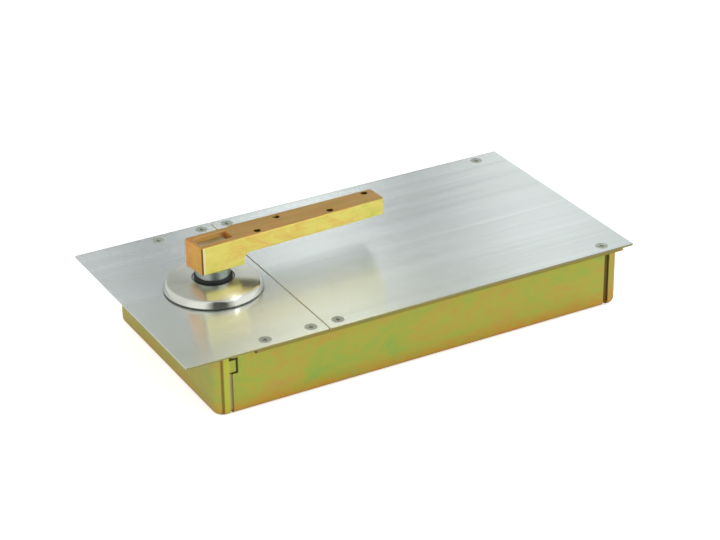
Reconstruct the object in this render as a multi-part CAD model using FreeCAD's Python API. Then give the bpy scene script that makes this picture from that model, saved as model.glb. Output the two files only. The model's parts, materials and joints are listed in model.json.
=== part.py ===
import FreeCAD, Part
import math
import os
from FreeCAD import Vector

# Floor spring door closer. Millimetres, +Z up.
# Origin: centre of the cover's outline, on the underside of the cement case.
# +X runs along the long side, away from the spindle. -Y is the front.

# Cutters run this far past the faces they open; edges this near a plane lie on it
past = 1.0
tiny = 0.01

# Cover plates
plate_length = 379.0
plate_width = 200.0
plate_thickness = 1.5
plate_corner = 1.0
plate_edge_break = 0.25
seam_from_left = 114.0
seam_gap = 0.8
spindle_from_left = 69.6
spindle_hole_radius = 31.0

# Cement case, folded from sheet
case_depth = 56.4
case_left_margin = 27.7
case_right_margin = 3.2
case_side_margin = 12.8
sheet = 1.5
case_bend_radius = 4.6
case_corner_radius = 8.9
left_end_depth = 11.0
left_joint_gap = 2.6
right_end_depth = 9.8
right_joint_gap = 4.3
joggle_reach = 9.0
joggle_root = 3.0
rail_left_margin = 54.5
rail_right_margin = 9.0
rail_front_margin = 1.0
rail_thickness = 2.6
tongue_length = 5.2
tongue_height = 9.3
tongue_top_below_cover = 12.0
tongue_slot = 1.8

# Cover screws, countersunk
screw_from_edge = 9.0
screw_from_left = 66.0
screw_from_right = 23.5
screw_from_seam = 11.0
screw_head_radius = 4.8
screw_radius = 2.5
screw_length = 7.5
screw_sink = 0.15
recess_width = 0.9
recess_reach = 2.4
recess_depth = 1.2

# Spindle and its head
neck_radius = 13.0
journal_radius = 15.4
shoulder_radius = 11.0
seat_radius = 8.5
foot_radius = 8.0
head_length = 25.0
head_width = 12.6
head_top_setback = 0.35
head_corner = 1.2
running_gap = 0.04
head_gap = 0.1
socket_relief = 2.6

# Door arm, measured from the spindle axis
arm_turn_deg = 2.57
arm_above_cover = 18.1
arm_height = 21.9
beam_height = 13.1
heel_front_end = 14.0
heel_back_end = 16.5
heel_corner = 1.2
heel_end = 20.9
heel_fillet = 4.8
arm_front = 11.5
heel_back = 11.5
beam_back_near = 12.6
beam_back_far = 8.8
beam_step = 19.8
beam_step_run = 1.5
arm_reach = 143.3
arm_tip_radius = 3.0
arm_edge_break = 0.5
head_below_arm_top = 3.6
arm_hole_radius = 2.8
arm_hole_places = ((35.1, -6.2), (58.2, 6.1), (97.9, -6.1))
tip_hole_inset = 8.2
tip_hole_side = 5.0

# Collar and seal ring round the spindle
collar_radius = 37.7
collar_height = 9.2
collar_side_height = 3.7
collar_side_lean = 0.3
collar_crown_radius = 34.6
collar_crown_height = 6.3
collar_shoulder = 0.9
collar_foot_break = 0.7
collar_wall = 2.0
collar_hole_gap = 0.4
spigot_drop = 5.0
spigot_gap = 0.3
spigot_wall = 1.8
ring_groove = 1.0
ring_thickness = 1.5
ring_gap = 0.1
ring_overlap = 2.0
ring_opening = 10.0
seal_ring_outer = 15.2
seal_ring_height = 4.0
seal_ring_round = 0.9
journal_below_collar_top = 0.5
journal_above_fork = 0.9

# Body casting
bore_radius = 17.0
bore_wall = 5.0
body_lift = 4.5
body_half_width = 31.5
body_nose = 31.5
body_end_room = 36.7
body_corner = 6.0
cylinder_front_wall = 6.0
waist_from_lid = 20.0
waist_before_lug = 8.0
chamber_radius = 26.5
chamber_floor = 8.0
chamber_pass_half = 14.0
passage_below_rim = 1.0
lid_end = 33.7
lid_gap = 0.3
lid_thickness = 5.2
lid_boss_radius = 24.0
lid_boss_height = 4.4
gasket_thickness = 0.8
gasket_strip = 2.0
bore_start = 38.0
bush_wall = 3.0
lip_seal_width = 5.0

# Heart cam and roller; the rise is for each radian of turn
roller_distance = 20.0
cam_rise = 7.0
swing_deg = 110.0
cam_over_run_deg = 3.0
flank_steps = 24
roller_radius = 8.5
roller_gap = 0.2
roller_side_gap = 0.7
cam_thickness = 12.0
key_width = 4.0
key_height = 4.0
key_depth_in_shaft = 2.0

# Fork, roller pin and piston
fork_side_gap = 0.4
fork_ear_thickness = 5.2
fork_ear_radius = 6.3
fork_bridge_half = 10.0
fork_bridge_gap = 1.7
fork_bridge_length = 5.8
pin_radius = 3.5
stud_radius = 5.0
stud_length = 12.0
piston_gap = 0.05
piston_length = 30.0
piston_front_gap = 1.0
seal_groove_depth = 2.5
seal_groove_width = 3.0
check_ball_radius = 2.5
check_offset = 10.0
check_pocket_depth = 9.0
check_side_gap = 0.3
check_hole_radius = 1.5
check_ball_play = 0.1
check_plug_length = 3.0
check_plug_bore = 1.4

# Main spring, its seat and the preload screw
spring_wire_radius = 3.4
spring_mean_radius = 12.9
spring_turns = 14.0
seat_thickness = 8.0
seat_radius_gap = 0.4
seat_travel = 4.0
seat_before_flange = 30.3
seat_key_width = 4.0
seat_key_height = 2.0
seat_key_low_gap = 0.3
seat_key_side_gap = 0.1
keyway_lead = 6.0
preload_radius = 6.0
preload_flange_radius = 9.0
preload_flange = 3.6
preload_inner_length = 36.0
preload_face_gap = 0.1
preload_neck = 0.5
preload_square = 10.0
preload_square_length = 9.0
preload_square_round = 6.2
plug_radius = 19.0
plug_thickness = 12.0
plug_recess = 2.0
spanner_hole_radius = 2.0
spanner_hole_depth = 5.0
spanner_hole_offset = 12.4

# Thrust bearing under the cam
race_outer = 13.0
race_inner_gap = 0.5
lower_race = 1.6
ball_radius = 2.2
ball_gap = 0.05
ball_pitch_radius = 10.7
ball_count = 10
cage_thickness = 1.4
bush_depth = 5.0
foot_end_gap = 0.5

# Oil channel and its valves
channel_offset = 25.0
channel_radius = 2.5
channel_start = 48.0
channel_plug_length = 6.0
port_radius = 1.5
port_places = (54.0, 150.0)
valve_places = (66.0, 86.0)
valve_radius = 4.0
valve_tip_radius = 1.4
valve_tip_gap = 0.3
valve_point_radius = 0.4
valve_point_rise = 1.0
valve_well_rise = 1.0
valve_stem_rise = 1.5
valve_top_drop = 0.6
valve_slot = 1.2
valve_slot_depth = 1.5
filler_place = 116.0
filler_radius = 5.0
filler_head_radius = 7.5
filler_head = 3.0
filler_stem_rise = 3.0
filler_socket = 5.0
filler_socket_depth = 2.5

# Feet of the body in the case
lug_near = 6.0
lug_before_end = 36.0
lug_half_length = 10.0
lug_reach = 68.0
lug_thickness = 10.0
lug_root = 2.0
lug_corner = 1.5
hold_down_offset = 43.0
levelling_offset = 56.0
m8_radius = 4.0
m8_hole_radius = 4.6
m8_head_across = 13.0
m8_head_height = 5.3
washer_radius = 8.0
washer_thickness = 1.6
washer_gap = 0.2
hold_down_end_gap = 0.5
pad_radius = 8.5
pad_height = 4.0
levelling_above_lug = 4.0
levelling_socket = 4.0
levelling_socket_depth = 3.0
side_screw_radius = 3.0
side_screw_in_lug = 7.0
lid_screw_radius = 3.0
lid_screw_head = 5.8
lid_screw_length = 14.0
lid_screw_inset = 6.5
lid_socket = 4.0
lid_socket_depth = 2.4

# Places worked out from the sizes above
left = -plate_length / 2
right = plate_length / 2
front = -plate_width / 2
cover_top = case_depth
cover_under = cover_top - plate_thickness
spindle_x = left + spindle_from_left
seam_x = left + seam_from_left
short_screw_xs = (left + screw_from_left, seam_x - screw_from_seam)
long_screw_xs = (seam_x + screw_from_seam, right - screw_from_right)
case_left = left + case_left_margin
case_right = right - case_right_margin
case_half_width = plate_width / 2 - case_side_margin
wall_inner = case_half_width - sheet
trough_left = case_left + left_end_depth + left_joint_gap
trough_right = case_right - right_end_depth - right_joint_gap
body_bottom = sheet + body_lift
axis_z = body_bottom + bore_wall + bore_radius
body_top = axis_z + bore_radius + bore_wall
chamber_z = body_bottom + chamber_floor
rim_z = body_top - lid_thickness - gasket_thickness
cam_low = axis_z - cam_thickness / 2
cam_high = axis_z + cam_thickness / 2
fork_half = cam_thickness / 2 + fork_side_gap + fork_ear_thickness
bridge_start = roller_distance + roller_radius + fork_bridge_gap
bridge_end = bridge_start + fork_bridge_length
piston_start = bore_start + piston_front_gap
piston_end = piston_start + piston_length
body_end = case_right - sheet - body_end_room - spindle_x
lug_places = (lug_near, body_end - lug_before_end)
plug_end = body_end - plug_recess
plug_start = plug_end - plug_thickness
flange_end = plug_start - preload_face_gap
flange_start = flange_end - preload_flange
seat_end = flange_start - seat_before_flange
seat_start = seat_end - seat_thickness
spring_length = seat_start - piston_end
collar_top = cover_top + collar_height
journal_top = collar_top - journal_below_collar_top
journal_low = axis_z + fork_half + journal_above_fork
arm_low = cover_top + arm_above_cover
arm_top = arm_low + arm_height
beam_low = arm_top - beam_height
head_top = arm_top - head_below_arm_top
lip_seal_top = body_top + lid_boss_height


def block(x0, x1, y0, y1, z0, z1):
    return Part.makeBox(x1 - x0, y1 - y0, z1 - z0, Vector(x0, y0, z0))


def post(x, y, z0, z1, radius):
    return Part.makeCylinder(radius, z1 - z0, Vector(x, y, z0), Vector(0, 0, 1))


def tube(x, y, z0, z1, inner, outer):
    return post(x, y, z0, z1, outer).cut(post(x, y, z0 - past, z1 + past, inner))


def rod_x(s0, s1, y, z, radius):
    # a round bar along X; s is measured from the spindle axis
    return Part.makeCylinder(radius, s1 - s0, Vector(spindle_x + s0, y, z), Vector(1, 0, 0))


def rod_y(x, y0, y1, z, radius):
    return Part.makeCylinder(radius, y1 - y0, Vector(x, y0, z), Vector(0, 1, 0))


def cone(x, y, z0, z1, radius0, radius1):
    return Part.makeCone(radius0, radius1, z1 - z0, Vector(x, y, z0), Vector(0, 0, 1))


def hexagon(x, y, z0, z1, across):
    reach = across / math.sqrt(3)
    corners = [
        Vector(x + reach * math.cos(math.radians(60 * i)), y + reach * math.sin(math.radians(60 * i)), z0)
        for i in range(7)
    ]
    return Part.Face(Part.makePolygon(corners)).extrude(Vector(0, 0, z1 - z0))


def upright_edges(solid):
    # the edges whose height is their whole length, or very nearly
    return [e for e in solid.Edges if abs(e.Vertexes[0].Z - e.Vertexes[-1].Z) > e.Length * 0.99]


def on_plane(edge, axis, place):
    return all(abs(getattr(v, axis) - place) < tiny for v in edge.Vertexes)


def rounded_block(x0, x1, y0, y1, z0, z1, radius):
    solid = block(x0, x1, y0, y1, z0, z1)
    return solid.makeFillet(radius, upright_edges(solid))


def union(solids):
    result = solids[0]
    for solid in solids[1:]:
        result = result.fuse(solid)
    return result.removeSplitter()


def group(solids):
    return Part.makeCompound(solids)


def turn_with_arm(shape):
    return shape.rotate(Vector(spindle_x, 0, 0), Vector(0, 0, 1), arm_turn_deg)


def save(name, shape):
    shape.exportStep("parts/" + name + ".step")


# Case


def case_profile(half, low, radius, high):
    # a U seen along X, closed across the top, with round bottom corners
    shift = radius * (1 - math.cos(math.radians(45)))
    a = Vector(0, -half, high)
    b = Vector(0, -half, low + radius)
    c = Vector(0, -half + shift, low + shift)
    d = Vector(0, -half + radius, low)
    e = Vector(0, half - radius, low)
    f = Vector(0, half - shift, low + shift)
    g = Vector(0, half, low + radius)
    h = Vector(0, half, high)
    edges = [
        Part.makeLine(a, b),
        Part.Arc(b, c, d).toShape(),
        Part.makeLine(d, e),
        Part.Arc(e, f, g).toShape(),
        Part.makeLine(g, h),
        Part.makeLine(h, a),
    ]
    return Part.Face(Part.Wire(edges))


def trough(x0, x1, inset):
    # the case's cross-section, shrunk all round by inset, from x0 to x1
    high = cover_under if inset == 0 else cover_under + past
    face = case_profile(case_half_width - inset, inset, case_bend_radius - inset, high)
    return face.extrude(Vector(x1 - x0, 0, 0)).translate(Vector(x0, 0, 0))


def tongue_space(grow):
    # the left end's locking tongue on both long walls, or its notch when grown
    x1 = case_left + left_end_depth + tongue_length + grow
    top = cover_top - tongue_top_below_cover + grow
    low = top - tongue_height - 2 * grow
    bars = []
    for side in (-1, 1):
        y0, y1 = sorted((side * (wall_inner - grow), side * (case_half_width + grow)))
        bars.append(block(case_left + left_end_depth - grow, x1, y0, y1, low, top))
    return bars[0].fuse(bars[1])


def cement_case():
    outside = trough(trough_left, trough_right, 0)
    inside = trough(trough_left - past, trough_right + past, sheet)
    return outside.cut(inside).cut(tongue_space(tongue_slot))


def end_pan(x_out, x_in, inset):
    # a solid end block with round corners, shrunk on its closed sides by inset
    low, high = sorted((x_out, x_in))
    half = case_half_width - inset
    solid = block(low, high, -half, half, inset, cover_under if inset == 0 else cover_under + past)
    corners = [e for e in upright_edges(solid) if on_plane(e, "X", x_out)]
    solid = solid.makeFillet(case_corner_radius - inset, corners)
    bends = [e for e in solid.Edges if on_plane(e, "Z", inset) and not on_plane(e, "X", x_in)]
    return solid.makeFillet(case_bend_radius - inset, bends)


def case_end(side):
    # side -1 is the left end; a joggled band reaches inside the trough
    x_out = case_left if side < 0 else case_right
    depth = left_end_depth if side < 0 else right_end_depth
    gap = left_joint_gap if side < 0 else right_joint_gap
    x_in = x_out - side * depth
    pan = end_pan(x_out, x_in, 0).cut(end_pan(x_out - side * sheet, x_in - side * past, sheet))
    low, high = sorted((x_in + side * joggle_root, x_in - side * (gap + joggle_reach)))
    band = trough(low, high, sheet).cut(trough(low - past, high + past, 2 * sheet))
    band = band.common(block(low, high, -case_half_width, case_half_width, 0, cover_under))
    cap = pan.fuse(band)
    if side < 0:
        cap = cap.fuse(tongue_space(0))
    return cap.removeSplitter()


def screw_points(xs):
    return [(x, side * (plate_width / 2 - screw_from_edge)) for x in xs for side in (-1, 1)]


def screw_tool(x, y):
    # the countersink and the tapped hole of one cover screw
    cone_depth = screw_head_radius - screw_radius
    top = cover_top - screw_sink
    sink = cone(x, y, top - cone_depth, top, screw_radius, screw_head_radius)
    mouth = post(x, y, top, cover_top + past, screw_head_radius)
    shank = post(x, y, top - screw_length - past, top - cone_depth, screw_radius)
    return union([sink, mouth, shank])


def cover_rail(side):
    # the bar under the cover's long edge, welded along the wall
    y_out = side * (plate_width / 2 - rail_front_margin)
    y_in = side * case_half_width
    low, high = min(y_out, y_in), max(y_out, y_in)
    bar = block(left + rail_left_margin, right - rail_right_margin, low, high,
                cover_under - rail_thickness, cover_under)
    for x, y in screw_points(short_screw_xs + long_screw_xs):
        if y * side > 0:
            bar = bar.cut(screw_tool(x, y))
    return bar


def cover_plate(x0, x1, screw_xs):
    plate = rounded_block(x0, x1, front, -front, cover_under, cover_top, plate_corner)
    rim = [e for e in plate.Edges if on_plane(e, "Z", cover_top)]
    plate = plate.makeChamfer(plate_edge_break, rim)
    for x, y in screw_points(screw_xs):
        plate = plate.cut(screw_tool(x, y))
    return plate


def short_cover():
    plate = cover_plate(left, seam_x - seam_gap / 2, short_screw_xs)
    return plate.cut(post(spindle_x, 0, cover_under - past, cover_top + past, spindle_hole_radius))


def long_cover():
    return cover_plate(seam_x + seam_gap / 2, right, long_screw_xs)


def cross_recess(x, y, top):
    low, high = top - recess_depth, top + past
    half = recess_width / 2
    arm_x = block(x - recess_reach, x + recess_reach, y - half, y + half, low, high)
    arm_y = block(x - half, x + half, y - recess_reach, y + recess_reach, low, high)
    return arm_x.fuse(arm_y)


def cover_screw(x, y):
    top = cover_top - screw_sink
    cone_depth = screw_head_radius - screw_radius
    head = cone(x, y, top - cone_depth, top, screw_radius, screw_head_radius)
    shank = post(x, y, top - screw_length, top - cone_depth, screw_radius)
    screw = union([head, shank])
    return screw.cut(cross_recess(x, y, top))


def cover_screws(xs):
    return group([cover_screw(x, y) for x, y in screw_points(xs)])


# Collar


def collar():
    hole = journal_radius + collar_hole_gap
    spigot_out = spindle_hole_radius - spigot_gap
    spigot_in = spigot_out - spigot_wall
    side_top = cover_top + collar_side_height
    crown = cover_top + collar_crown_height
    under = crown - collar_wall
    foot = cover_top - spigot_drop
    rim = Vector(spindle_x + collar_crown_radius, 0, crown)
    side = Vector(spindle_x + collar_radius - collar_side_lean, 0, side_top)
    outward = Vector(rim.z - side.z, 0, side.x - rim.x).normalize()
    shoulder = (rim + side) * 0.5 + outward * collar_shoulder
    points = [
        (hole, collar_top - collar_wall),
        (hole, collar_top),
        (collar_crown_radius, crown),
        (collar_radius - collar_side_lean, side_top),
        (collar_radius, cover_top + collar_foot_break),
        (collar_radius - collar_foot_break, cover_top),
        (spigot_out, cover_top),
        (spigot_out, foot),
        (spigot_in, foot),
        (spigot_in, under),
    ]
    corners = [Vector(spindle_x + radius, 0, height) for radius, height in points]
    edges = []
    for i, start in enumerate(corners):
        end = corners[(i + 1) % len(corners)]
        if i == 2:
            edges.append(Part.Arc(start, shoulder, end).toShape())
        else:
            edges.append(Part.makeLine(start, end))
    face = Part.Face(Part.Wire(edges))
    body = face.revolve(Vector(spindle_x, 0, 0), Vector(0, 0, 1), 360)
    return body.cut(groove_space(spigot_out + past, 0))


def groove_space(outer, gap):
    # the groove under the cover, or the ring that lies in it when there is a gap
    inner = spindle_hole_radius - spigot_gap - ring_groove + gap
    top = cover_under - spigot_gap
    return tube(spindle_x, 0, top - ring_thickness, top - gap, inner, outer)


def collar_lock_ring():
    # an open ring that snaps into the collar's groove under the cover
    outer = spindle_hole_radius + ring_overlap
    opening = block(spindle_x, spindle_x + outer + past, -ring_opening / 2, ring_opening / 2,
                    cover_under - spigot_drop, cover_under)
    return groove_space(outer, ring_gap).cut(opening)


def seal_ring():
    inner = neck_radius + running_gap
    ring = tube(spindle_x, 0, journal_top, journal_top + seal_ring_height, inner, seal_ring_outer)
    around = 2 * math.pi * seal_ring_outer
    rim = [e for e in ring.Edges if e.Vertexes[0].Z > journal_top + tiny and abs(e.Length - around) < tiny]
    return ring.makeFillet(seal_ring_round, rim)


# Spindle and arm


def head_block(grow, relief, z0, z1):
    # the flat tapered head; grow and relief open it into the arm's socket
    shapes = []
    for z in (z0, z1):
        shrink = head_top_setback * (z - arm_low) / (head_top - arm_low)
        half_l = head_length / 2 - shrink + grow
        half_w = head_width / 2 - shrink + grow
        corners = [
            Vector(spindle_x - half_l, -half_w, z),
            Vector(spindle_x + half_l + relief, -half_w, z),
            Vector(spindle_x + half_l + relief, half_w, z),
            Vector(spindle_x - half_l, half_w, z),
            Vector(spindle_x - half_l, -half_w, z),
        ]
        shapes.append(Part.makePolygon(corners))
    return Part.makeLoft(shapes, True, True)


def spindle():
    foot_low = body_bottom + chamber_floor - bush_depth + foot_end_gap
    shaft = union([
        post(spindle_x, 0, foot_low, cam_low, foot_radius),
        post(spindle_x, 0, cam_low, cam_high, seat_radius),
        post(spindle_x, 0, cam_high, journal_low, shoulder_radius),
        post(spindle_x, 0, journal_low, journal_top, journal_radius),
        post(spindle_x, 0, journal_top, arm_low, neck_radius),
    ])
    head = head_block(0, 0, arm_low, head_top)
    head = head.makeChamfer(head_corner, upright_edges(head))
    shaft = shaft.fuse(turn_with_arm(head)).removeSplitter()
    return shaft.cut(key_block())


def arm_outline():
    # the arm seen from above, u along the arm and v to its back
    corners = [
        (-heel_front_end, -arm_front),
        (arm_reach, -arm_front),
        (arm_reach, beam_back_far),
        (beam_step + beam_step_run, beam_back_near),
        (beam_step, heel_back),
        (-heel_back_end, heel_back),
        (-heel_front_end, -arm_front),
    ]
    return Part.Face(Part.makePolygon([Vector(spindle_x + u, v, arm_low) for u, v in corners]))


def arm_side():
    # the arm seen from the front: deep heel, thinner beam, round inside corner
    u0 = spindle_x - heel_back_end - past
    u1 = spindle_x + arm_reach + past
    heel = spindle_x + heel_end
    shift = heel_fillet * (1 - math.cos(math.radians(45)))
    y = -arm_front - past
    a = Vector(u0, y, arm_low)
    b = Vector(heel, y, arm_low)
    c = Vector(heel, y, beam_low - heel_fillet)
    d = Vector(heel + shift, y, beam_low - shift)
    e = Vector(heel + heel_fillet, y, beam_low)
    f = Vector(u1, y, beam_low)
    g = Vector(u1, y, arm_top)
    h = Vector(u0, y, arm_top)
    edges = [
        Part.makeLine(a, b),
        Part.makeLine(b, c),
        Part.Arc(c, d, e).toShape(),
        Part.makeLine(e, f),
        Part.makeLine(f, g),
        Part.makeLine(g, h),
        Part.makeLine(h, a),
    ]
    return Part.Face(Part.Wire(edges)).extrude(Vector(0, beam_back_near - y + past, 0))


def arm_holes():
    return arm_hole_places + ((arm_reach - tip_hole_inset, tip_hole_side),)


def door_arm():
    arm = arm_outline().extrude(Vector(0, 0, arm_height)).common(arm_side())
    tip = [e for e in upright_edges(arm) if on_plane(e, "X", spindle_x + arm_reach)]
    arm = arm.makeFillet(arm_tip_radius, tip)
    heel = [e for e in upright_edges(arm) if e.Vertexes[0].X < spindle_x - heel_front_end + tiny]
    arm = arm.makeFillet(heel_corner, heel)
    arm = arm.makeChamfer(arm_edge_break, [e for e in arm.Edges if on_plane(e, "Z", arm_top)])
    arm = arm.cut(head_block(head_gap, socket_relief, arm_low - past, arm_top + past))
    for u, v in arm_holes():
        arm = arm.cut(post(spindle_x + u, v, beam_low - past, arm_top + past, arm_hole_radius))
    return turn_with_arm(arm)


# Cam, key and thrust bearing


def flank_point(turn):
    # where the roller's inner side lies once the cam has turned this far
    radius = roller_distance + cam_rise * turn
    offset = roller_radius + roller_gap
    run = math.hypot(radius, cam_rise)
    normal_x = (radius * math.cos(turn) + cam_rise * math.sin(turn)) / run
    normal_y = (radius * math.sin(turn) - cam_rise * math.cos(turn)) / run
    x = radius * math.cos(turn) - offset * normal_x
    y = radius * math.sin(turn) - offset * normal_y
    return x, y


def heart_cam():
    end_turn = math.radians(swing_deg + cam_over_run_deg)
    points = [flank_point(end_turn * i / flank_steps) for i in range(flank_steps + 1)]
    upper = [Vector(spindle_x + x, y, cam_low) for x, y in points]
    lower = [Vector(spindle_x + x, -y, cam_low) for x, y in points]
    flank_a = Part.BSplineCurve()
    flank_a.interpolate(upper)
    flank_b = Part.BSplineCurve()
    flank_b.interpolate(lower)
    lobe = math.hypot(points[-1][0], points[-1][1])
    pocket = Vector(spindle_x + roller_distance - roller_radius - roller_gap, 0, cam_low)
    edges = [
        flank_a.toShape(),
        Part.Arc(upper[-1], Vector(spindle_x - lobe, 0, cam_low), lower[-1]).toShape(),
        flank_b.toShape(),
        Part.Arc(lower[0], pocket, upper[0]).toShape(),
    ]
    wire = Part.Wire(Part.__sortEdges__(edges))
    cam = Part.Face(wire).extrude(Vector(0, 0, cam_thickness))
    cam = cam.cut(post(spindle_x, 0, cam_low - past, cam_high + past, seat_radius))
    return cam.cut(key_block())


def key_block():
    inner = seat_radius - key_depth_in_shaft
    return block(spindle_x - inner - key_height, spindle_x - inner, -key_width / 2, key_width / 2,
                 cam_low, cam_high)


def thrust_lower_race():
    inner = foot_radius + race_inner_gap
    return tube(spindle_x, 0, chamber_z, chamber_z + lower_race, inner, race_outer)


def thrust_upper_race():
    low = chamber_z + lower_race + 2 * ball_radius + 2 * ball_gap
    return tube(spindle_x, 0, low, cam_low, foot_radius, race_outer)


def ball_centres():
    z = chamber_z + lower_race + ball_gap + ball_radius
    centres = []
    for i in range(ball_count):
        turn = 2 * math.pi * i / ball_count
        x = spindle_x + ball_pitch_radius * math.cos(turn)
        centres.append(Vector(x, ball_pitch_radius * math.sin(turn), z))
    return centres


def thrust_balls():
    return group([Part.makeSphere(ball_radius, centre) for centre in ball_centres()])


def thrust_cage():
    mid = ball_centres()[0].z
    inner = foot_radius + race_inner_gap
    cage = tube(spindle_x, 0, mid - cage_thickness / 2, mid + cage_thickness / 2, inner, race_outer)
    for centre in ball_centres():
        cage = cage.cut(Part.makeSphere(ball_radius + ball_gap, centre))
    return cage


# Carriage


def roller_fork():
    ears = []
    for side in (-1, 1):
        z_in = axis_z + side * (cam_thickness / 2 + fork_side_gap)
        z_out = axis_z + side * fork_half
        low, high = min(z_in, z_out), max(z_in, z_out)
        x = spindle_x + roller_distance
        ears.append(post(x, 0, low, high, fork_ear_radius))
        ears.append(block(x, spindle_x + bridge_end, -fork_ear_radius, fork_ear_radius, low, high))
    bridge = block(spindle_x + bridge_start, spindle_x + bridge_end, -fork_bridge_half, fork_bridge_half,
                   axis_z - fork_half, axis_z + fork_half)
    stud = rod_x(bridge_end, piston_start + stud_length, 0, axis_z, stud_radius)
    fork = union(ears + [bridge, stud])
    return fork.cut(post(spindle_x + roller_distance, 0, 0, body_top, pin_radius))


def roller_pin():
    return post(spindle_x + roller_distance, 0, axis_z - fork_half, axis_z + fork_half, pin_radius)


def cam_roller():
    half = cam_thickness / 2 + fork_side_gap - roller_side_gap
    return tube(spindle_x + roller_distance, 0, axis_z - half, axis_z + half,
                pin_radius + running_gap, roller_radius)


def check_pocket():
    # the non-return valve's bore through the piston, wide at the spring side
    s1 = piston_end
    z = axis_z + check_offset
    wide = rod_x(s1 - check_pocket_depth, s1 + past, 0, z, check_ball_radius + check_side_gap)
    narrow = rod_x(piston_start - past, s1 - check_plug_length, 0, z, check_hole_radius)
    return wide.fuse(narrow)


def piston():
    radius = bore_radius - piston_gap
    groove_start = piston_start + piston_length / 2 - seal_groove_width / 2
    groove_end = groove_start + seal_groove_width
    skirt = rod_x(piston_start, piston_end, 0, axis_z, radius)
    core = rod_x(groove_start, groove_end, 0, axis_z, radius - seal_groove_depth)
    ring = rod_x(groove_start, groove_end, 0, axis_z, radius + past).cut(core)
    stud = rod_x(piston_start - past, piston_start + stud_length, 0, axis_z, stud_radius)
    return skirt.cut(ring).cut(stud).cut(check_pocket())


def piston_seal():
    radius = bore_radius - piston_gap
    groove_start = piston_start + piston_length / 2 - seal_groove_width / 2
    groove_end = groove_start + seal_groove_width
    outer = rod_x(groove_start, groove_end, 0, axis_z, bore_radius - piston_gap / 2)
    core = rod_x(groove_start - past, groove_end + past, 0, axis_z, radius - seal_groove_depth)
    return outer.cut(core)


def check_ball():
    s = piston_end - check_plug_length - check_ball_radius - check_ball_play
    return Part.makeSphere(check_ball_radius, Vector(spindle_x + s, 0, axis_z + check_offset))


def check_plug():
    z = axis_z + check_offset
    start = piston_end - check_plug_length
    plug = rod_x(start, piston_end, 0, z, check_ball_radius + check_side_gap)
    return plug.cut(rod_x(start - past, piston_end + past, 0, z, check_plug_bore))


def main_spring():
    # a round-wire helix along X with its two ends ground flat
    pitch = (spring_length + spring_wire_radius) / spring_turns
    start = piston_end - spring_wire_radius / 2
    helix = Part.makeHelix(pitch, spring_length + spring_wire_radius, spring_mean_radius)
    centre = Vector(spring_mean_radius, 0, 0)
    section = Part.Wire([Part.makeCircle(spring_wire_radius, centre, Vector(0, 1, 0))])
    wire = Part.Wire(helix).makePipeShell([section], True, True)
    wire = wire.rotate(Vector(0, 0, 0), Vector(0, 1, 0), 90)
    wire = wire.translate(Vector(spindle_x + start, 0, axis_z))
    keep = rod_x(piston_end, seat_start, 0, axis_z, bore_radius)
    return wire.common(keep)


def spring_seat():
    disc = rod_x(seat_start, seat_end, 0, axis_z, bore_radius - seat_radius_gap)
    key_low = axis_z - bore_radius - seat_key_height
    key = block(spindle_x + seat_start, spindle_x + seat_end, -seat_key_width / 2, seat_key_width / 2,
                key_low + seat_key_low_gap, axis_z - bore_radius / 2)
    seat = disc.fuse(key).removeSplitter()
    return seat.cut(rod_x(seat_start - past, seat_end + past, 0, axis_z, preload_radius + running_gap))


def preload_screw():
    s0 = plug_end + preload_neck
    shank = rod_x(flange_start - preload_inner_length, s0, 0, axis_z, preload_radius)
    flange = rod_x(flange_start, flange_end, 0, axis_z, preload_flange_radius)
    half = preload_square / 2
    square = block(spindle_x + s0, spindle_x + s0 + preload_square_length, -half, half,
                   axis_z - half, axis_z + half)
    square = square.common(rod_x(s0, s0 + preload_square_length, 0, axis_z, preload_square_round))
    return union([shank, flange, square])


def end_plug():
    plug = rod_x(plug_start, plug_end, 0, axis_z, plug_radius)
    plug = plug.cut(rod_x(plug_start - past, plug_end + past, 0, axis_z, preload_radius + running_gap))
    for side in (-1, 1):
        plug = plug.cut(rod_x(plug_end - spanner_hole_depth, plug_end + past, side * spanner_hole_offset,
                              axis_z, spanner_hole_radius))
    return plug


# Body


def lug_points():
    return [(spindle_x + place, side) for place in lug_places for side in (-1, 1)]


def hold_down_points():
    return [(x, side * hold_down_offset) for x, side in lug_points()]


def levelling_points():
    return [(x, side * levelling_offset) for x, side in lug_points()]


def lid_screw_points():
    low = spindle_x - body_nose + lid_screw_inset
    high = spindle_x + lid_end - lid_screw_inset
    half = body_half_width - lid_screw_inset
    return [(x, side * half) for x in (low, high) for side in (-1, 1)]


def side_screw_start():
    return lug_reach - side_screw_in_lug


def chamber(z1):
    well = post(spindle_x, 0, chamber_z, z1, chamber_radius)
    passage = block(spindle_x, spindle_x + lid_end + lid_gap, -chamber_pass_half, chamber_pass_half,
                    chamber_z, z1)
    return well.fuse(passage)


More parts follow.
